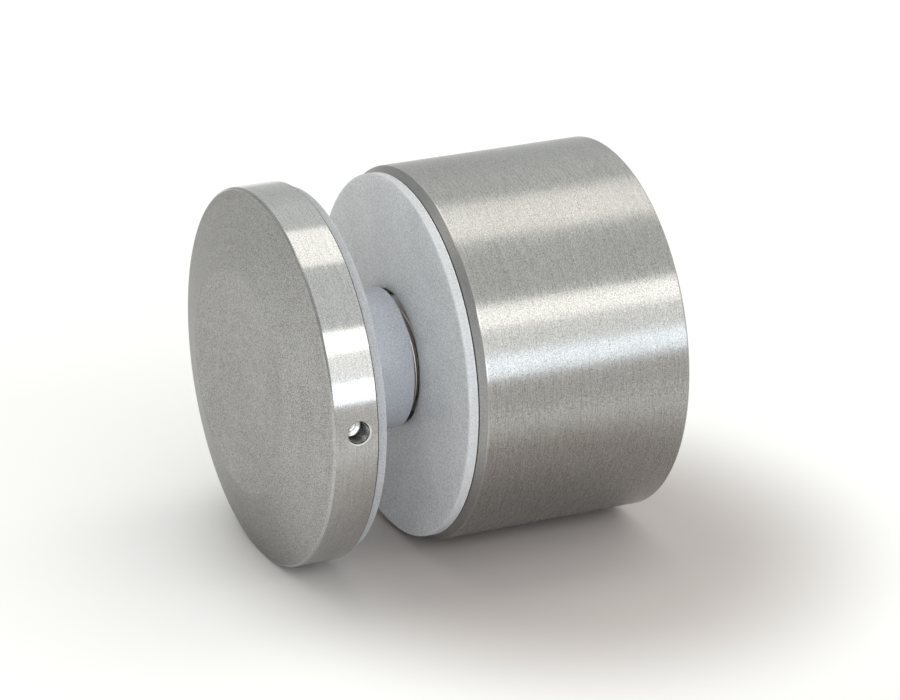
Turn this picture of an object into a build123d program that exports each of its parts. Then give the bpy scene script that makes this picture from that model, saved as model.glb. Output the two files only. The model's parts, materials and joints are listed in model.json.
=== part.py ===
from build123d import *
import math
import os

# Point fixing that holds a glass railing pane off a wall or a stringer.
# All pieces but the side hole are turned about the Y axis: the wall face is the plane Y = 0,
# and the cap faces -Y. A depth is a distance from the wall face along -Y, in millimetres.

# Stand-off body
body_diameter = 50.0
body_length = 30.0
body_front_chamfer = 1.1
body_back_chamfer = 0.3
wall_hole_diameter = 9.0           # clearance for an M8 wall screw
wall_hole_length = 8.0             # steel left under the screw's head
head_pocket_diameter = 14.0        # an M16 tapping drill, which lets the screw's head through
head_pocket_length = 8.0
thread_mouth_chamfer = 0.5

# Threaded stud, shown without its thread, and the holes that it screws into
stud_diameter = 16.0
stud_pitch = 2.0
stud_length = 30.0
stud_end_chamfer = 1.2
stud_thread_clearance = 0.05       # on the radius
stud_depth_in_cap = 6.0
key_socket_across_flats = 8.0
key_socket_depth = 8.0

# Gaskets, one on the body and one behind the cap, both the same
gasket_diameter = 48.4
gasket_thickness = 1.3
gasket_hole_diameter = 18.0
gasket_edge_chamfer = 0.15

# Bush that keeps the glass off the stud
bush_diameter = 18.8
bush_bore_diameter = 16.6
bush_length = 10.6
bush_edge_chamfer = 0.2

# Spaces left while no pane is clamped
glass_gap = 11.4                   # from gasket to gasket
cap_gasket_play = 0.1              # from the loose gasket to the cap

# Cap
cap_diameter = 50.0
cap_rim_height = 6.2
cap_crown_height = 2.8
cap_flat_diameter = 30.0
cap_rim_chamfer = 0.25
cap_back_chamfer = 0.2

# Blind side hole in the cap's rim, for the pin that tightens it
pin_hole_diameter = 3.0
pin_hole_from_back = 2.75          # its middle, from the cap's back
pin_hole_length = 3.0              # its straight wall, to where the drill point starts
pin_hole_rise_angle = 2.1          # above the horizontal, from +X towards +Z
drill_point_angle = 118.0

# Depths that follow
body_gasket_front = body_length + gasket_thickness
cap_gasket_back = body_gasket_front + glass_gap
cap_back = cap_gasket_back + gasket_thickness + cap_gasket_play
cap_rim_front = cap_back + cap_rim_height
cap_front = cap_rim_front + cap_crown_height
stud_outer_end = cap_back + stud_depth_in_cap
stud_inner_end = stud_outer_end - stud_length
thread_floor = wall_hole_length + head_pocket_length

lathe = Plane(origin=(0, 0, 0), x_dir=(1, 0, 0), z_dir=(0, 0, -1))


def turned(outline):
    """A solid of revolution about the Y axis, from its half section of (radius, depth) points."""
    section = lathe * make_face(Polyline(*outline, close=True))
    return revolve(section, Axis.Y)


def ring(outer_radius, inner_radius, start, end, chamfer):
    """A tube between two depths, its outer edges broken by the same chamfer."""
    return turned([
        (inner_radius, start),
        (outer_radius - chamfer, start),
        (outer_radius, start + chamfer),
        (outer_radius, end - chamfer),
        (outer_radius - chamfer, end),
        (inner_radius, end),
    ])


def standoff_body():
    """Bar turned to size, drilled through for the wall screw and tapped from the front."""
    outer = body_diameter / 2
    wall_hole = wall_hole_diameter / 2
    pocket = head_pocket_diameter / 2
    thread = stud_diameter / 2 + stud_thread_clearance
    mouth = thread + thread_mouth_chamfer
    return turned([
        (wall_hole, 0),
        (outer - body_back_chamfer, 0),
        (outer, body_back_chamfer),
        (outer, body_length - body_front_chamfer),
        (outer - body_front_chamfer, body_length),
        (mouth, body_length),
        (thread, body_length - thread_mouth_chamfer),
        (thread, thread_floor),
        (pocket, thread_floor),
        (pocket, wall_hole_length),
        (wall_hole, wall_hole_length),
    ])


def gasket(start):
    """Flat washer cut from soft plastic sheet."""
    return ring(gasket_diameter / 2, gasket_hole_diameter / 2, start, start + gasket_thickness,
                gasket_edge_chamfer)


def glass_bush():
    """Sleeve that fills the hole in the pane; it rests against the gasket behind the cap."""
    return ring(bush_diameter / 2, bush_bore_diameter / 2, cap_gasket_back - bush_length, cap_gasket_back,
                bush_edge_chamfer)


def threaded_stud():
    """Set screw with a hexagon socket in its inner end, screwed into the cap to the bottom of its hole."""
    radius = stud_diameter / 2
    bar = turned([
        (0, stud_inner_end),
        (radius - stud_end_chamfer, stud_inner_end),
        (radius, stud_inner_end + stud_end_chamfer),
        (radius, stud_outer_end - stud_end_chamfer),
        (radius - stud_end_chamfer, stud_outer_end),
        (0, stud_outer_end),
    ])
    inner_face = Plane(origin=(0, -stud_inner_end, 0), x_dir=(1, 0, 0), z_dir=(0, -1, 0))
    key = inner_face * RegularPolygon(key_socket_across_flats / 2, 6, major_radius=False)
    return bar - extrude(key, key_socket_depth)


def pin_hole():
    """The drill's shape: a cylinder from outside the rim to the wall's end, then the point."""
    radius = pin_hole_diameter / 2
    point_height = radius / math.tan(math.radians(drill_point_angle / 2))
    reach = cap_diameter / 2
    wall_end = reach - pin_hole_length
    mouth_end = reach + pin_hole_diameter
    section = make_face(Polyline(
        (wall_end - point_height, 0),
        (wall_end, radius),
        (mouth_end, radius),
        (mouth_end, 0),
        close=True,
    ))
    drill = revolve(section, Axis.X)
    middle = cap_back + pin_hole_from_back
    return Pos(0, -middle, 0) * Rot(0, -pin_hole_rise_angle, 0) * drill


def cap():
    """Crowned disc with a blind threaded hole behind for the stud and a pin hole in its rim."""
    outer = cap_diameter / 2
    thread = stud_diameter / 2 + stud_thread_clearance
    disc = turned([
        (0, cap_front),
        (cap_flat_diameter / 2, cap_front),
        (outer - cap_rim_chamfer, cap_rim_front),
        (outer, cap_rim_front - cap_rim_chamfer),
        (outer, cap_back + cap_back_chamfer),
        (outer - cap_back_chamfer, cap_back),
        (thread, cap_back),
        (thread, stud_outer_end),
        (0, stud_outer_end),
    ])
    return disc - pin_hole()


pieces = {
    "standoff_body": standoff_body(),
    "body_gasket": gasket(body_length),
    "glass_bush": glass_bush(),
    "cap_gasket": gasket(cap_gasket_back),
    "threaded_stud": threaded_stud(),
    "cap": cap(),
}

os.makedirs("parts", exist_ok=True)
for name, piece in pieces.items():
    export_step(piece, f"parts/{name}.step")

closing_travel = cap_gasket_back - bush_length - body_gasket_front
print(f"cap travel inwards {closing_travel:.2f} mm, {360 * closing_travel / stud_pitch:.0f} degrees")
print(f"thread engaged at rest {body_length - stud_inner_end:.2f} mm")
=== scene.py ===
import json
import math

import bpy
from mathutils import Matrix, Vector

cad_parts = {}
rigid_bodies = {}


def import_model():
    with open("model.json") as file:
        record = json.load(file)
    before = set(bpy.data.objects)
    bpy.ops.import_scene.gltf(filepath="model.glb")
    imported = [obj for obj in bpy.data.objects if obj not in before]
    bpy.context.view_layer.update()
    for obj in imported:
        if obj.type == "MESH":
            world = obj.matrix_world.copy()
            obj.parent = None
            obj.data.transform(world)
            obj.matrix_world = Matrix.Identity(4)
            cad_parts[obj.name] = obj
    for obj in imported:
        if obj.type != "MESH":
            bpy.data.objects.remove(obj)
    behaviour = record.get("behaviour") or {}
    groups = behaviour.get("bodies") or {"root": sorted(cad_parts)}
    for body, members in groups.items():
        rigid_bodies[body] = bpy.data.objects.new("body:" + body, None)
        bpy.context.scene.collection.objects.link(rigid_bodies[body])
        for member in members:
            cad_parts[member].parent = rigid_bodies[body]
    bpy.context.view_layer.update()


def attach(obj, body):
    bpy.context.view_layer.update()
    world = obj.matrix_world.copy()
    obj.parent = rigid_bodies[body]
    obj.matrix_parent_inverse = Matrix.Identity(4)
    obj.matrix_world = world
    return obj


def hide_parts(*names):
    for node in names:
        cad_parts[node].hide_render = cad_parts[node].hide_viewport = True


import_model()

mm = 0.001   # sizes below are in millimetres, the scene is in metres

making = {
    "turnSteps": 256,       # faces round a turned piece
    "roundSteps": 4,        # faces along a rounded corner
    "weld": 1e-6,           # in metres
    "sharpAngle": 40,       # degrees, from which an edge isn't shaded smooth
}


def inMetres(values):
    return [value * mm for value in values]


def onlyThis(piece):
    bpy.ops.object.select_all(action="DESELECT")
    piece.select_set(True)
    bpy.context.view_layer.objects.active = piece


def newShape(name, add, **values):
    bpy.ops.object.select_all(action="DESELECT")
    add(**values)
    piece = bpy.context.object
    piece.name = piece.data.name = name
    return piece


def settle(piece):
    # its place and turn go into its mesh
    onlyThis(piece)
    bpy.ops.object.transform_apply(location=True, rotation=True, scale=True)


def startLine(name, radius, depth):
    # a small plane shrunk to one point, put where the outline starts
    line = newShape(name, bpy.ops.mesh.primitive_plane_add, size=mm, location=(0, 0, 0))
    bpy.ops.object.mode_set(mode="EDIT")
    bpy.ops.mesh.select_mode(type="VERT")
    bpy.ops.mesh.select_all(action="SELECT")
    bpy.ops.mesh.merge(type="CENTER")
    bpy.ops.transform.translate(value=(radius * mm, -depth * mm, 0))
    return line


def extendLine(points):
    for (radius, depth), (nextRadius, nextDepth) in zip(points, points[1:]):
        move = ((nextRadius - radius) * mm, (depth - nextDepth) * mm, 0)
        bpy.ops.mesh.extrude_region_move(TRANSFORM_OT_translate={"value": move})


def softened(corners, segments):
    # a corner is (radius, depth), with a third number where it is rounded:
    # how far the curve runs along each side
    points = []
    for index, corner in enumerate(corners):
        if len(corner) == 2:
            points.append(corner)
            continue
        near = (index, index - 1, index + 1)
        spot, before, after = (Vector(corners[i % len(corners)][:2]) for i in near)
        start = spot + (before - spot).normalized() * corner[2]
        end = spot + (after - spot).normalized() * corner[2]
        for step in range(segments + 1):
            share = step / segments
            points.append(tuple(start.lerp(spot, share).lerp(spot.lerp(end, share), share)))
    return points


def closeMesh(weld):
    # joins the ends of a spun or screwed mesh that is in edit mode
    bpy.ops.mesh.select_all(action="SELECT")
    bpy.ops.mesh.remove_doubles(threshold=weld)


def faceOutwards():
    bpy.ops.mesh.select_all(action="SELECT")
    bpy.ops.mesh.normals_make_consistent(inside=False)
    bpy.ops.object.mode_set(mode="OBJECT")


def turnPiece(name, corners, steps=making["turnSteps"]):
    # the outline is (radius, depth) from the wall, spun about the fitting's axis
    # like work in a lathe
    outline = softened(corners, making["roundSteps"])
    piece = startLine(name, *outline[0])
    extendLine(outline)
    bpy.ops.mesh.select_all(action="SELECT")
    bpy.ops.mesh.spin(steps=steps, angle=2 * math.pi, center=(0, 0, 0), axis=(0, 1, 0))
    closeMesh(making["weld"])
    faceOutwards()
    return piece


def applyModifier(piece, kind, **values):
    modifier = piece.modifiers.new(kind.title(), kind)
    for key, value in values.items():
        setattr(modifier, key, value)
    onlyThis(piece)
    bpy.ops.object.modifier_apply(modifier=modifier.name)


def cutWith(piece, tool, operation="DIFFERENCE"):
    applyModifier(piece, "BOOLEAN", object=tool, operation=operation, solver="EXACT")
    bpy.data.objects.remove(tool)


def smooth(piece, degrees=making["sharpAngle"]):
    onlyThis(piece)
    bpy.ops.object.shade_smooth_by_angle(angle=math.radians(degrees))
    applyModifier(piece, "WEIGHTED_NORMAL", keep_sharp=True)


def paint(piece, materials, choose=None):
    # choose says which of the materials a face gets, and without it all get the first
    piece.data.materials.clear()
    for material in materials:
        piece.data.materials.append(material)
    for face in piece.data.polygons:
        face.material_index = materials.index(choose(face)) if choose else 0


def place(face):
    # a face's distance from the axis and its depth from the wall, in millimetres
    return math.hypot(face.center.x, face.center.z) / mm, -face.center.y / mm


class Nodes:
    # the nodes of a material or of the world, in front of its shader
    def __init__(self, owner, shader="Principled BSDF"):
        owner.use_nodes = True
        self.owner = owner
        self.tree = owner.node_tree
        self.shader = self.tree.nodes[shader]

    def feed(self, node, inputs):
        # an input is linked to another node's output or gets a plain value
        for key, value in inputs.items():
            if isinstance(value, bpy.types.NodeSocket):
                self.tree.links.new(value, node.inputs[key])
            else:
                node.inputs[key].default_value = value

    def add(self, kind, inputs=None, **values):
        node = self.tree.nodes.new(kind)
        for key, value in values.items():
            setattr(node, key, value)
        self.feed(node, inputs or {})
        return node

    def finish(self, inputs):
        self.feed(self.shader, inputs)
        return self.owner

    def objectPlace(self, scale=(1, 1, 1)):
        inputs = {"Vector": self.add("ShaderNodeTexCoord").outputs["Object"], "Scale": scale}
        return self.add("ShaderNodeMapping", inputs).outputs[0]

    def noise(self, vector, scale, detail, roughness):
        inputs = {"Vector": vector, "Scale": scale, "Detail": detail, "Roughness": roughness}
        return self.add("ShaderNodeTexNoise", inputs).outputs["Fac"]

    def grain(self, scale):
        return self.noise(self.objectPlace(), scale, detail=1, roughness=0.5)

    def cloud(self, scale):
        return self.noise(self.objectPlace(), scale, detail=2, roughness=0.5)

    def spread(self, value, low, high, span, interpolation="LINEAR"):
        # low where the value is at the span's start or below, high at its end or above
        inputs = {"Value": value, "From Min": span[0], "From Max": span[1],
                  "To Min": low, "To Max": high}
        node = self.add("ShaderNodeMapRange", inputs, interpolation_type=interpolation)
        return node.outputs["Result"]

    def colours(self, share, low, high):
        inputs = {"Factor": share, "A": (*low, 1), "B": (*high, 1)}
        return self.add("ShaderNodeMix", inputs, data_type="RGBA").outputs["Result"]

    def math(self, operation, first, second):
        inputs = {0: first, 1: second}
        return self.add("ShaderNodeMath", inputs, operation=operation).outputs[0]

    def vector(self, operation, *vectors):
        node = self.add("ShaderNodeVectorMath", dict(enumerate(vectors)), operation=operation)
        return node.outputs["Value" if operation in ("LENGTH", "DOT_PRODUCT") else "Vector"]

    def blend(self, *parts):
        # the sum of the parts, each a value and its share
        total = None
        for value, share in parts:
            part = self.math("MULTIPLY", value, share)
            total = self.math("ADD", total, part) if total else part
        return total

    def ringPlace(self):
        # turning marks: fine steps along the radius, slow change round the circle
        flat = self.objectPlace((1, 0, 1))
        apart = self.add("ShaderNodeSeparateXYZ", {0: flat}).outputs
        inputs = {
            "X": self.math("MULTIPLY", self.vector("LENGTH", flat), skin["ringSteps"]),
            "Y": self.math("MULTIPLY", apart["X"], skin["ringChange"]),
            "Z": self.math("MULTIPLY", apart["Z"], skin["ringChange"]),
        }
        return self.add("ShaderNodeCombineXYZ", inputs).outputs[0]

    def bump(self, height, distance, strength=1.0, under=None):
        inputs = {"Height": height, "Distance": distance * mm, "Strength": strength}
        if under:
            inputs["Normal"] = under
        return self.add("ShaderNodeBump", inputs).outputs[0]


# A noise is faint on a flat face whose depth in metres, times the scale, is near a whole number.
# The grain scales put the cap's crown and the gaskets' open faces near the middle between two.
skin = {
    "toneSpan": (0.36, 0.64),          # the part of a noise that the two colours lie over
    "cloudSpan": (0.3, 0.7),
    "longMarks": (130, 4200, 130),     # brushing: coarse round the axis, fine along it
    "fineMarks": (480, 8500, 480),
    "brushedGrain": 6500,
    "brushedCloud": 55,
    "brushTurn": 0.25,                 # draws the highlight out along the axis
    "ringSteps": 3000,                 # turning marks: along the radius and round the circle
    "ringChange": 70,
    "facedGrain": 6920,
    "facedCloud": 70,
    "cloudShare": 0.15,
    "drilledGrain": 6000,
    "drilledSpeckle": 0.0008,
    "plasticGrain": 6500,
    "plasticCloud": 160,
    "plasticStreak": 0.05,
    "plasticGrainBump": (0.0015, 0.6),   # height and strength
    "plasticCloudBump": (0.004, 0.5),
    "plasticIor": 1.47,
    "milkiness": 0.6,
}


def brushedSteel(name, low, high, rough, streak, anisotropy, lines, speckle):
    # bar steel brushed in the lathe: short fine lines round it, over a satin speckle
    made = Nodes(bpy.data.materials.new(name))
    longMarks = made.noise(made.objectPlace(skin["longMarks"]), 1, detail=3, roughness=0.6)
    fineMarks = made.noise(made.objectPlace(skin["fineMarks"]), 1, detail=2, roughness=0.6)
    grain = made.grain(skin["brushedGrain"])
    cloud = made.cloud(skin["brushedCloud"])
    marks = made.blend((longMarks, 0.5), (fineMarks, 0.5))
    tone = made.spread(made.blend((marks, 0.4), (grain, 0.6)), 0, 1, skin["toneSpan"])
    wear = made.blend((marks, 0.75), (cloud, 0.25))
    return made.finish({
        "Base Color": made.colours(tone, low, high),
        "Roughness": made.spread(wear, rough - streak, rough + streak, skin["toneSpan"]),
        "Normal": made.bump(grain, speckle, under=made.bump(marks, lines)),
        "Tangent": made.add("ShaderNodeTangent", direction_type="RADIAL", axis="Y").outputs[0],
        "Metallic": 1.0,
        "Anisotropic": anisotropy,
        "Anisotropic Rotation": skin["brushTurn"],
    })


def facedSteel(name, low, high, rough, streak, arcs, lines, speckle, edge=1.0):
    # a face cut and ground on the lathe: faint arcs round the centre over a fine matt grain
    made = Nodes(bpy.data.materials.new(name))
    rings = made.noise(made.ringPlace(), 1, detail=3, roughness=0.6)
    grain = made.grain(skin["facedGrain"])
    cloud = made.cloud(skin["facedCloud"])
    grainShare = 1 - skin["cloudShare"] - arcs
    mixed = made.blend((grain, grainShare), (cloud, skin["cloudShare"]), (rings, arcs))
    return made.finish({
        "Base Color": made.colours(made.spread(mixed, 0, 1, skin["toneSpan"]), low, high),
        "Roughness": made.spread(cloud, rough - streak, rough + streak, skin["cloudSpan"]),
        "Normal": made.bump(grain, speckle, under=made.bump(rings, lines)),
        "Metallic": 1.0,
        "Specular Tint": (edge, edge, edge, 1),
    })


def milkyPlastic(name, low, high, rough, depth):
    # translucent plastic, a little cloudy inside, its skin finely textured
    made = Nodes(bpy.data.materials.new(name))
    cloud = made.cloud(skin["plasticCloud"])
    grain = made.grain(skin["plasticGrain"])
    tone = made.spread(made.blend((cloud, 0.2), (grain, 0.8)), 0, 1, skin["toneSpan"])
    return made.finish({
        "Base Color": made.colours(tone, low, high),
        "Roughness": made.spread(cloud, rough - skin["plasticStreak"], rough + skin["plasticStreak"],
                                 skin["cloudSpan"]),
        "Normal": made.bump(grain, *skin["plasticGrainBump"],
                            under=made.bump(cloud, *skin["plasticCloudBump"])),
        "IOR": skin["plasticIor"],
        "Subsurface Weight": skin["milkiness"],
        "Subsurface Scale": depth * mm,
        "Subsurface Radius": (1.0, 1.0, 1.0),
    })


bodySteel = brushedSteel("brushedBodySteel", (0.235, 0.23, 0.216), (0.515, 0.505, 0.49),
                         rough=0.28, streak=0.08, anisotropy=0.95, lines=0.0013, speckle=0.0008)
rimSteel = brushedSteel("polishedRimSteel", (0.325, 0.32, 0.312), (0.545, 0.54, 0.525),
                        rough=0.15, streak=0.05, anisotropy=0.8, lines=0.0008, speckle=0.0004)
crownSteel = facedSteel("groundCrownSteel", (0.235, 0.229, 0.224), (0.54, 0.533, 0.526),
                        rough=0.38, streak=0.03, arcs=0.12, lines=0.0004, speckle=0.0002, edge=0.66)
chamferSteel = brushedSteel("turnedChamferSteel", (0.275, 0.27, 0.265), (0.40, 0.395, 0.385),
                            rough=0.42, streak=0.04, anisotropy=0.6, lines=0.0008, speckle=0.0008)
edgeSteel = brushedSteel("polishedEdgeSteel", (0.36, 0.355, 0.345), (0.45, 0.445, 0.435),
                         rough=0.14, streak=0.02, anisotropy=0.3, lines=0.0004, speckle=0.0002)
# painted shade: near-black steel for the dark lines under the gasket on the body's bevel and on the
# cap's back edge
paintedShadeSteel = facedSteel("paintedShadeGapSteel", (0.05, 0.05, 0.048), (0.085, 0.085, 0.082),
                      rough=0.45, streak=0.05, arcs=0.3, lines=0.002, speckle=0.0006)
boredSteel = facedSteel("boredSteel", (0.30, 0.29, 0.28), (0.40, 0.39, 0.38),
                        rough=0.38, streak=0.06, arcs=0.35, lines=0.003, speckle=0.0008)
# painted light: steel paler than the rest, lightening the stud in the shaded slit by the bush; on
# the pin hole's mouth it is a painted highlight ring
threadPaintedLightSteel = brushedSteel("threadPaintedLightSteel", (0.66, 0.64, 0.61), (0.86, 0.84, 0.81),
                           rough=0.36, streak=0.06, anisotropy=0.2, lines=0.0015, speckle=0.0008)
gasketPlastic = milkyPlastic("milkyGasketPlastic", (0.465, 0.471, 0.480), (0.775, 0.782, 0.792),
                             rough=0.35, depth=1.2)
wallEdgePlastic = milkyPlastic("wallEdgePlastic", (0.44, 0.445, 0.455), (0.60, 0.605, 0.615),
                               rough=0.42, depth=0.8)
# painted shade: a darker copy of the cut-edge plastic, for the cap gasket's wall
capEdgePaintedShadePlastic = milkyPlastic("capEdgePaintedShadePlastic", (0.27, 0.275, 0.29), (0.43, 0.435, 0.45),
                              rough=0.42, depth=0.8)
bushPlastic = milkyPlastic("milkyBushPlastic", (0.38, 0.40, 0.445), (0.58, 0.60, 0.645),
                           rough=0.30, depth=1.2)
print("materials made")

thread = {
    "radius": 8.0,          # M16, pitch 2 mm, right-hand
    "pitch": 2.0,
    "flankAngle": 30.0,
    "rootRound": 0.12,
    "roundSteps": 3,
    "start": 56.24,         # sets where a crest shows in the gap
    "steps": 96,
    "weld": 2e-6,           # in metres, as the next one
    "cutThreshold": 1e-8,
}

studForm = {
    "root": 6.77,
    "crest": 7.99,
    "crestRound": 0.125,
    "clearance": 0.0,
    "overrun": 1.0,         # how far the rod runs past the piece
}

tapForm = {
    "root": 6.9,
    "crest": 8.05,
    "crestRound": 0.02,
    "clearance": 0.06,
    "overrun": 2.0,
}


def threadRod(name, form, shallow, deep):
    # one pitch of the thread's outline, screwed along the axis and cut square at both ends
    pitch, start, rootRound = thread["pitch"], thread["start"], thread["rootRound"]
    root, crest, crestRound = form["root"], form["crest"], form["crestRound"]
    slope = math.tan(math.radians(thread["flankAngle"]))
    flat = pitch / 16       # half of a crest's flat, where the thread has its full radius
    halfCrest = flat + (thread["radius"] - crest) * slope + form["clearance"]
    halfBase = flat + (thread["radius"] - root) * slope + form["clearance"]
    outline = softened([
        (root, start),
        (root, start - pitch / 2 + halfBase, rootRound),
        (crest, start - pitch / 2 + halfCrest, crestRound),
        (crest, start - pitch / 2 - halfCrest, crestRound),
        (root, start - pitch / 2 - halfBase, rootRound),
        (root, start - pitch),
    ], thread["roundSteps"])
    rod = startLine(name, *outline[0])
    extendLine(outline)
    bpy.ops.object.mode_set(mode="OBJECT")
    applyModifier(rod, "SCREW", axis="Y", angle=2 * math.pi, screw_offset=pitch * mm,
                  iterations=math.ceil(start / pitch), steps=thread["steps"],
                  render_steps=thread["steps"])
    onlyThis(rod)
    bpy.ops.object.mode_set(mode="EDIT")
    closeMesh(thread["weld"])
    for depth, side in ((shallow, "clear_outer"), (deep, "clear_inner")):
        bpy.ops.mesh.select_all(action="SELECT")
        bpy.ops.mesh.bisect(plane_co=(0, -depth * mm, 0), plane_no=(0, 1, 0), use_fill=True,
                            threshold=thread["cutThreshold"], **{side: True})
    faceOutwards()
    return rod


body = {
    "radius": 25.0,
    "length": 30.0,
    "frontChamfer": 1.1,
    "backChamfer": 0.3,
    "wallHole": 4.5,
    "holeChamfer": 0.25,
    "pocketFloor": 8.0,
    "bore": 7.0,
    "threadFloor": 16.0,
    "mouth": 8.55,          # the thread's bevelled mouth
    "edgeBreak": 0.08,
    "chamferBreak": 0.14,   # a polished line runs round where the bevel meets the side
    "paintedShadeLine": 0.2,         # the bevel's inner edge is painted dark this far, a painted shade under the gasket
    "faceDepth": 0.1,       # a face this close to an end is part of it
}


def makeBody():
    radius, length, bore, mouth = body["radius"], body["length"], body["bore"], body["mouth"]
    bevel, back, edgeBreak = body["frontChamfer"], body["backChamfer"], body["edgeBreak"]
    bevelBreak, paintedShadeLine = body["chamferBreak"], body["paintedShadeLine"]
    hole, holeChamfer = body["wallHole"], body["holeChamfer"]
    outline = [
        (hole, holeChamfer),
        (hole + holeChamfer, 0),
        (radius - back, 0, edgeBreak),
        (radius, back, edgeBreak),
        (radius, length - bevel, bevelBreak),
        (radius - bevel + paintedShadeLine, length - paintedShadeLine),
        (radius - bevel, length),
        (mouth, length),
        (bore, length - mouth + bore),
        (bore, body["pocketFloor"]),
        (hole, body["pocketFloor"]),
        (hole, holeChamfer),
    ]
    piece = turnPiece("turnedBody", outline)
    cutWith(piece, threadRod("bodyTap", tapForm, body["threadFloor"], length + tapForm["overrun"]))
    smooth(piece)

    def steelOf(face):
        out, depth = place(face)
        if out < mouth:
            return boredSteel
        # painted shade: the bevel's inner edge under the gasket is painted dark
        if depth > length - paintedShadeLine and out > radius - bevel:
            return paintedShadeSteel
        if abs(depth - length + bevel) < bevelBreak and out > radius - bevelBreak:
            return edgeSteel
        if depth > length - bevel and out > radius - bevel:
            return chamferSteel
        if depth < body["faceDepth"] or depth > length - body["faceDepth"]:
            return boredSteel
        return bodySteel
    paint(piece, [bodySteel, chamferSteel, boredSteel, edgeSteel, paintedShadeSteel], steelOf)
    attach(piece, "wall_side")
    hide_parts("standoff_body")
    print("body:", len(piece.data.polygons), "faces")


makeBody()

gasket = {
    "radius": 24.2,
    "hole": 9.0,
    "thickness": 1.3,
    "openEdge": 0.24,       # rounded where it faces the glass
    "otherEdge": 0.06,
    "paintedHighlightLine": 0.16,       # a painted highlight: the cut wall keeps the paler face plastic along its back edge
    "paintedHighlightReach": 0.1,
    "wallReach": 0.3,       # a face is on the cut wall when it's this far out and doesn't lie flat
    "flatNormal": 0.9,
    "sharpAngle": 35,
    "wallStart": 30.0,
    "capStart": 42.7,
}


def makeGasket(name, start, glassInFront, edgePlastic, rides, node):
    radius, hole, end = gasket["radius"], gasket["hole"], start + gasket["thickness"]
    openEdge, otherEdge, paintedHighlightLine = gasket["openEdge"], gasket["otherEdge"], gasket["paintedHighlightLine"]
    first, last = (otherEdge, openEdge) if glassInFront else (openEdge, otherEdge)
    # where the painted highlight runs along the cut wall
    pale = start + paintedHighlightLine if glassInFront else end - paintedHighlightLine
    outline = [(hole, start), (radius, start, first), (radius, pale), (radius, end, last),
               (hole, end, otherEdge), (hole, start)]
    piece = turnPiece(name, outline)
    smooth(piece, gasket["sharpAngle"])

    def plasticOf(face):
        out, depth = place(face)
        onWall = abs(face.normal.y) < gasket["flatNormal"] and out > radius - gasket["wallReach"]
        # a strip along the wall's back edge keeps the paler face plastic, a painted highlight
        return edgePlastic if onWall and abs(depth - pale) > gasket["paintedHighlightReach"] else gasketPlastic
    paint(piece, [gasketPlastic, edgePlastic], plasticOf)
    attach(piece, rides)
    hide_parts(node)


makeGasket("wallGasket", gasket["wallStart"], True, wallEdgePlastic, "wall_side", "body_gasket")
makeGasket("capGasket", gasket["capStart"], False, capEdgePaintedShadePlastic, "glass_side", "cap_gasket")

bush = {
    "radius": 9.4,
    "bore": 8.3,
    "start": 32.1,
    "end": 42.7,
    "freeEdge": 0.2,
    "otherEdge": 0.1,
    "steps": 192,
    "sharpAngle": 35,
}


def makeBush():
    radius, bore, start, end = bush["radius"], bush["bore"], bush["start"], bush["end"]
    middle = (bore + radius) / 2
    outline = [(middle, start), (radius, start, bush["freeEdge"]), (radius, end, bush["otherEdge"]),
               (bore, end), (bore, start, bush["otherEdge"]), (middle, start)]
    piece = turnPiece("sleeveBush", outline, bush["steps"])
    smooth(piece, bush["sharpAngle"])
    paint(piece, [bushPlastic])
    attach(piece, "glass_side")
    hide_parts("glass_bush")


makeBush()
print("gaskets and bush made")

stud = {
    "innerEnd": 20.1,
    "outerEnd": 50.1,
    "endChamfer": 1.2,
    "socket": 8.0,          # across flats
    "socketSides": 6,
    "socketDepth": 8.0,
    "keyOverrun": 2.0,
}


def makeStud():
    radius, start, end = thread["radius"], stud["innerEnd"], stud["outerEnd"]
    chamfer, overrun = stud["endChamfer"], studForm["overrun"]
    outline = [(0, start), (radius - chamfer, start), (radius, start + chamfer),
               (radius, end - chamfer), (radius - chamfer, end), (0, end)]
    piece = turnPiece("screwStud", outline, thread["steps"])
    rod = threadRod("studThread", studForm, start - overrun, end + overrun)
    cutWith(piece, rod, "INTERSECT")
    keyRadius = stud["socket"] / 2 / math.cos(math.pi / stud["socketSides"])
    keyLength = stud["socketDepth"] + stud["keyOverrun"]
    keyMiddle = start + stud["socketDepth"] / 2 - stud["keyOverrun"] / 2
    key = newShape("socketKey", bpy.ops.mesh.primitive_cylinder_add, vertices=stud["socketSides"],
                   radius=keyRadius * mm, depth=keyLength * mm, location=(0, -keyMiddle * mm, 0),
                   rotation=(math.pi / 2, 0, 0))
    settle(key)
    cutWith(piece, key)
    smooth(piece)
    # the stud's steel is painted paler, as light in the slit
    paint(piece, [threadPaintedLightSteel])
    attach(piece, "cap_side")
    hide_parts("threaded_stud")
    print("stud:", len(piece.data.polygons), "faces")


makeStud()

cap = {
    "radius": 25.0,
    "back": 44.1,
    "rimFront": 50.3,
    "front": 53.1,
    "flat": 15.0,
    "rimChamfer": 0.25,
    "backChamfer": 0.2,
    "bore": 7.0,
    "mouth": 8.05,          # as wide as the thread
    "threadEnd": 50.1,
    "threadReach": 8.6,     # all within it, up to the thread's end, is bored steel
    "flatBreak": 0.5,
    "rimBreak": 0.08,
    "backBreak": 0.06,
    "rimLines": (48.6, 47.2, 45.6),   # they keep the rim's faces short beside the pin hole
    "crownStart": 50.32,
    "planeReach": 0.01,     # a face this close to a plane lies in it
}

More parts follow.
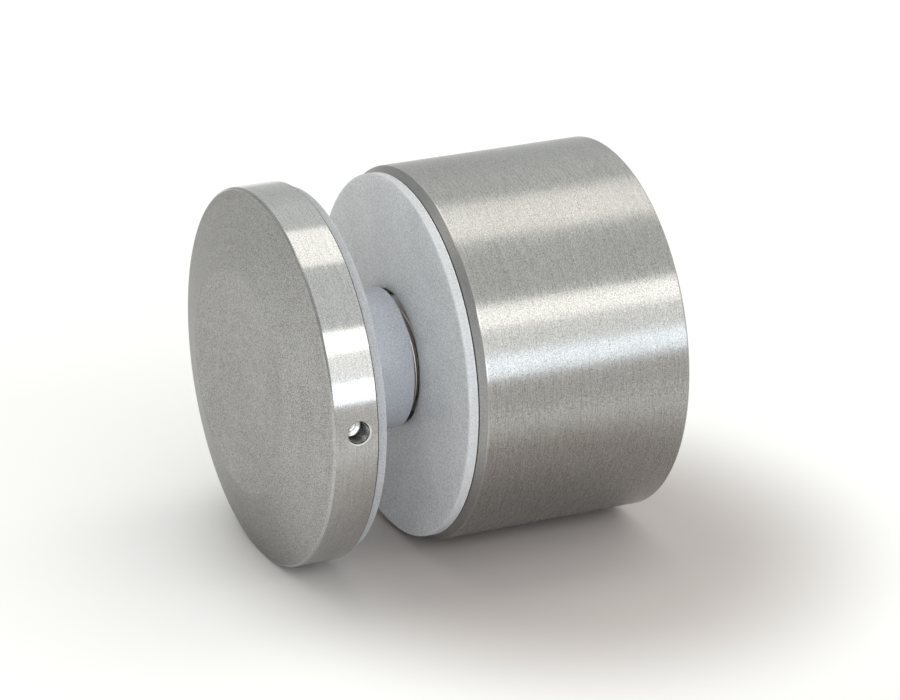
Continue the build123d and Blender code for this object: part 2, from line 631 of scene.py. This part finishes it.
pin = {
    "radius": 1.5,
    "wall": 3.0,
    "rise": 2.1,            # degrees above +X
    "depth": 46.85,
    "mouth": 0.13,          # how wide its mouth is broken
    "mouthStart": 24.955,   # where the round rim meets the hole's upper and lower edge
    "sinkBelow": 0.5,       # how far the countersink's cone runs past the mouth, in and out
    "sinkBeyond": 1.5,
    "mouthNormal": 0.9,     # the +X part of a normal, below which a face is on the mouth's bevel
    "wallNormal": 0.5,      # or on the hole's wall
    "pointAngle": 118.0,
    "pointRings": 5,
    "ringParts": ((0.55, 0.03), (0.45, -0.03)),   # their shares of a ring and their ripple
    "middleShare": 0.4,     # the innermost cone, as a share of a ring
    "sides": 96,
    "reach": 0.12,          # faces this far beyond its radius still belong to the hole
}
pinRise = math.radians(pin["rise"])
pinOut = Vector((math.cos(pinRise), 0, math.sin(pinRise)))
pinMiddle = Vector((0, -pin["depth"] * mm, 0))


def drilledSteel(name, low, high, rough, measureAlong, bands):
    # the pin hole's steel, its tone set by bands of the distance along the hole or from its axis:
    # painted light and shade
    made = Nodes(bpy.data.materials.new(name))
    fromMiddle = made.vector("SUBTRACT", made.objectPlace(), pinMiddle)
    if measureAlong:
        distance = made.vector("DOT_PRODUCT", fromMiddle, pinOut)
    else:
        distance = made.vector("LENGTH", made.vector("CROSS_PRODUCT", fromMiddle, pinOut))
    start, end = bands[0][0], bands[-1][0]
    share = made.spread(distance, 0, 1, inMetres((start, end)))
    ramp = made.add("ShaderNodeValToRGB", {"Fac": share})
    for index, (spot, tone) in enumerate(bands):
        part = (spot - start) / (end - start)
        stops = ramp.color_ramp.elements
        stop = stops[index] if index < 2 else stops.new(part)   # a new ramp has two stops
        stop.position = part
        stop.color = (tone, tone, tone, 1)
    return made.finish({
        "Base Color": made.colours(ramp.outputs["Color"], low, high),
        "Normal": made.bump(made.grain(skin["drilledGrain"]), skin["drilledSpeckle"]),
        "Metallic": 1.0,
        "Roughness": rough,
    })


# painted shade darkens the hole's wall at its mouth and in its corner; its pointed bottom has the
# drill's rings as bright and dark bands, painted highlights, with a dark outer ring of painted shade
drillWallPaintedShadeSteel = drilledSteel(
    "drillWallPaintedShadeSteel", (0.06, 0.06, 0.06), (0.72, 0.72, 0.71), rough=0.2, measureAlong=True,
    bands=[(22.0, 0.0), (22.16, 0.05), (22.3, 0.5), (23.4, 0.8), (24.3, 0.75), (24.58, 0.4),
           (24.7, 0.0), (24.9, 0.0)])
drillPointPaintedLightSteel = drilledSteel(
    "drillPointPaintedLightSteel", (0.10, 0.10, 0.10), (0.80, 0.80, 0.79), rough=0.25, measureAlong=False,
    bands=[(0.0, 0.5), (0.15, 0.95), (0.3, 0.3), (0.45, 1.0), (0.6, 0.35), (0.78, 1.0), (0.9, 0.3),
           (1.08, 1.0), (1.2, 0.6), (1.33, 0.9), (1.4, 0.0), (1.5, 0.0)])


def acrossRim(name, add, start, end, **values):
    # a cylinder or cone laid along the pin hole's axis, between two distances from the fitting's
    tool = newShape(name, add, vertices=pin["sides"], depth=(end - start) * mm,
                    location=pinMiddle + pinOut * ((start + end) / 2 * mm),
                    rotation=(0, math.pi / 2 - pinRise, 0), **values)
    settle(tool)
    return tool


def makePinDrill():
    # its inner end is drawn to the drill's point in stepped rings
    full = pin["radius"]
    drill = acrossRim("pinDrill", bpy.ops.mesh.primitive_cylinder_add, cap["radius"] - pin["wall"],
                      cap["radius"] + 2 * full, radius=full * mm)
    for parts in (drill.data.vertices, drill.data.edges, drill.data.polygons):
        for part in parts:
            part.select = False
    inner = min(drill.data.polygons, key=lambda face: face.center.dot(pinOut))
    inner.select = True
    centre = inner.center.copy()
    bpy.ops.object.mode_set(mode="EDIT")
    bpy.ops.mesh.select_mode(type="FACE")
    pointHeight = full / math.tan(math.radians(pin["pointAngle"] / 2))
    radius = full
    for share, ripple in pin["ringParts"] * pin["pointRings"]:
        nextRadius = radius - full / (pin["pointRings"] + pin["middleShare"]) * share
        depth = (radius - nextRadius) / full * pointHeight + ripple
        bpy.ops.mesh.extrude_region_move(TRANSFORM_OT_translate={"value": -pinOut * depth * mm})
        centre = centre - pinOut * depth * mm
        bpy.ops.transform.resize(value=(nextRadius / radius,) * 3, center_override=centre)
        radius = nextRadius
    tip = -pinOut * (radius / full * pointHeight) * mm
    bpy.ops.mesh.extrude_region_move(TRANSFORM_OT_translate={"value": tip})
    bpy.ops.mesh.merge(type="CENTER")
    bpy.ops.object.mode_set(mode="OBJECT")
    return drill


def makePinCountersink():
    # a 90 degree cone that breaks the hole's mouth
    base = pin["mouthStart"] - pin["mouth"]   # where the cone is as wide as the hole
    start, end = base - pin["sinkBelow"], cap["radius"] + pin["sinkBeyond"]
    return acrossRim("pinCountersink", bpy.ops.mesh.primitive_cone_add, start, end,
                     radius1=(pin["radius"] - pin["sinkBelow"]) * mm,
                     radius2=(pin["radius"] + end - base) * mm)


def makeCap():
    radius, back, rimFront, front = cap["radius"], cap["back"], cap["rimFront"], cap["front"]
    chamfer, backChamfer, backBreak = cap["rimChamfer"], cap["backChamfer"], cap["backBreak"]
    bore, mouth, threadEnd = cap["bore"], cap["mouth"], cap["threadEnd"]
    outline = [
        (0, front),
        (cap["flat"], front, cap["flatBreak"]),
        (radius - chamfer, rimFront, cap["rimBreak"]),
        (radius, rimFront - chamfer, cap["rimBreak"]),
        *((radius, depth) for depth in cap["rimLines"]),
        (radius, back + backChamfer, backBreak),
        (radius - backChamfer, back, backBreak),
        (mouth, back),
        (bore, back + mouth - bore),
        (bore, threadEnd),
        (0, threadEnd),
    ]
    piece = turnPiece("crownedCap", outline)
    cutWith(piece, threadRod("capTap", tapForm, back - tapForm["overrun"], threadEnd))
    cutWith(piece, makePinDrill())
    cutWith(piece, makePinCountersink())
    smooth(piece)

    def steelOf(face):
        out, depth = place(face)
        inThread = out < cap["threadReach"] and depth < threadEnd + cap["planeReach"]
        if inThread or depth < back + cap["planeReach"]:
            return boredSteel
        fromPin = math.hypot(depth - pin["depth"], face.center.z / mm - out * math.sin(pinRise))
        onRim = face.center.x > 0 and depth < rimFront - chamfer
        if onRim and fromPin < pin["radius"] + pin["reach"]:
            if out > radius - pin["reach"] - pin["mouth"]:
                # the mouth's bevel gets a painted highlight ring
                onMouth = face.normal.x < pin["mouthNormal"] and fromPin > pin["radius"]
                return threadPaintedLightSteel if onMouth else drillWallPaintedShadeSteel
            # the wall gets its painted shade, the pointed bottom its painted rings
            return drillWallPaintedShadeSteel if abs(face.normal.x) < pin["wallNormal"] else drillPointPaintedLightSteel
        # painted shade: the back chamfer beside the gasket is painted dark
        if depth < back + backChamfer:
            return paintedShadeSteel
        return crownSteel if depth > cap["crownStart"] else rimSteel
    steels = [rimSteel, crownSteel, boredSteel, drillWallPaintedShadeSteel, drillPointPaintedLightSteel, paintedShadeSteel,
              threadPaintedLightSteel]
    paint(piece, steels, steelOf)
    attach(piece, "cap_side")
    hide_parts("cap")
    print("cap:", len(piece.data.polygons), "faces")


makeCap()

studio = {
    "floorSize": 6,                      # metres
    "floorDepth": 25.02,                 # the fitting lies on its rims
    "floorShadow": (0.49, 0.452, 0.435),   # a painted shadow, darker round the fitting
    "shadowMiddle": (15, -14, 0),
    "shadowStretch": (1, 1.1, 1),
    "shadowFade": (21, 57),
    "floorFar": (0.90, 0.89, 0.88),
    "floorRough": 0.9,
    "frontShadeFade": (46, 110),              # painted shade: past the picture, towards +X, the floor is a little deeper in tone
    "frontShadeShare": 0.55,
    "roomColour": (0.97, 1.0, 0.99, 1),
    "roomDepth": (-0.7, 0.3),            # directions between which the room's level changes
    "frontLevel": 0.55,
    "backLevel": 1.06,
    "roomLeft": (-0.95, -0.60),
    "leftShare": 0.74,
    "lampDistance": 1.4,                 # metres, as the next one
    "lampWidth": 3.3,
    "lampAside": 2,                      # degrees towards the wall side
    "lampMiddle": (0, -0.026, 0),
    "lamps": (                           # name, two angles from +X up to +Z, level and colour
        ("windowWide", -3, 43, 0.70, (1, 1, 1)),
        ("windowLow", -3, 12, 1.14, (0.80, 0.98, 1.18)),
        ("windowHigh", 29, 42, 1.14, (1.03, 1.0, 0.95)),
        ("overhead", 85, 113, 1.0, (1.04, 1.0, 0.94)),
    ),
}


def makeFloor():
    floor = newShape("studioFloor", bpy.ops.mesh.primitive_plane_add, size=studio["floorSize"],
                     location=(0, 0, -studio["floorDepth"] * mm))
    # the floor is painted darker round the fitting, a painted shadow, and a little darker towards
    # +X, painted shade
    made = Nodes(bpy.data.materials.new("paleFloorPaintedShadow"))
    fromMiddle = made.vector("SUBTRACT", made.objectPlace(), inMetres(studio["shadowMiddle"]))
    away = made.vector("LENGTH", made.vector("MULTIPLY", fromMiddle, studio["shadowStretch"]))
    fade = made.spread(away, 0, 1, inMetres(studio["shadowFade"]), "SMOOTHSTEP")
    side = made.add("ShaderNodeSeparateXYZ", {0: made.objectPlace()}).outputs["X"]
    front = made.spread(side, 1, studio["frontShadeShare"], inMetres(studio["frontShadeFade"]), "SMOOTHSTEP")
    share = made.math("MULTIPLY", fade, front)
    floor.data.materials.append(made.finish({
        "Base Color": made.colours(share, studio["floorShadow"], studio["floorFar"]),
        "Roughness": studio["floorRough"],
        "Specular IOR Level": 0.0,
    }))


def makeWorld():
    # an even room, darker in front of the cap and a little darker on the left
    made = Nodes(bpy.data.worlds.new("studioRoom"), "Background")
    direction = made.add("ShaderNodeTexCoord").outputs["Generated"]
    apart = made.add("ShaderNodeSeparateXYZ", {0: direction}).outputs
    front = made.spread(apart["Y"], studio["frontLevel"], studio["backLevel"], studio["roomDepth"],
                        "SMOOTHSTEP")
    left = made.spread(apart["X"], studio["leftShare"], 1, studio["roomLeft"], "SMOOTHSTEP")
    strength = made.math("MULTIPLY", front, left)
    bpy.context.scene.world = made.finish({"Color": studio["roomColour"], "Strength": strength})


def softbox(name, lowest, highest, level, colour):
    # a long lamp beside the fitting, turned to face it
    phi, psi = math.radians((lowest + highest) / 2), math.radians(studio["lampAside"])
    distance, width = studio["lampDistance"], studio["lampWidth"]
    height = 2 * distance * math.tan(math.radians((highest - lowest) / 2))
    out = Vector((math.cos(psi) * math.cos(phi), math.sin(psi), math.cos(psi) * math.sin(phi)))
    wide = Vector((-math.sin(psi) * math.cos(phi), math.cos(psi), -math.sin(psi) * math.sin(phi)))
    turn = Matrix((wide, out.cross(wide), out)).transposed()
    light = bpy.data.lights.new(name, "AREA")
    light.shape = "RECTANGLE"
    light.size, light.size_y = width, height
    light.energy = level * math.pi * width * height
    light.color = colour
    lamp = bpy.data.objects.new(name, light)
    bpy.context.scene.collection.objects.link(lamp)
    spot = out * distance + Vector(studio["lampMiddle"])
    lamp.matrix_world = Matrix.Translation(spot) @ turn.to_4x4()


makeFloor()
makeWorld()
for lampSettings in studio["lamps"]:
    softbox(*lampSettings)

camera = {
    "place": (0.4564247, -0.2350189, 0.1946241),
    "look": (-0.84538873, 0.39313586, -0.36161041),
    "lens": 162.8,
    "sensor": 36,
    "clip": (0.01, 20),
}


def makeCamera():
    data = bpy.data.cameras.new("photoCamera")
    data.lens, data.sensor_width = camera["lens"], camera["sensor"]
    data.clip_start, data.clip_end = camera["clip"]
    eye = bpy.data.objects.new("photoCamera", data)
    bpy.context.scene.collection.objects.link(eye)
    eye.location = camera["place"]
    eye.rotation_euler = Vector(camera["look"]).to_track_quat("-Z", "Y").to_euler()
    bpy.context.scene.camera = eye


makeCamera()
bpy.context.scene.view_settings.view_transform = "Standard"
print("floor, lights and camera set")
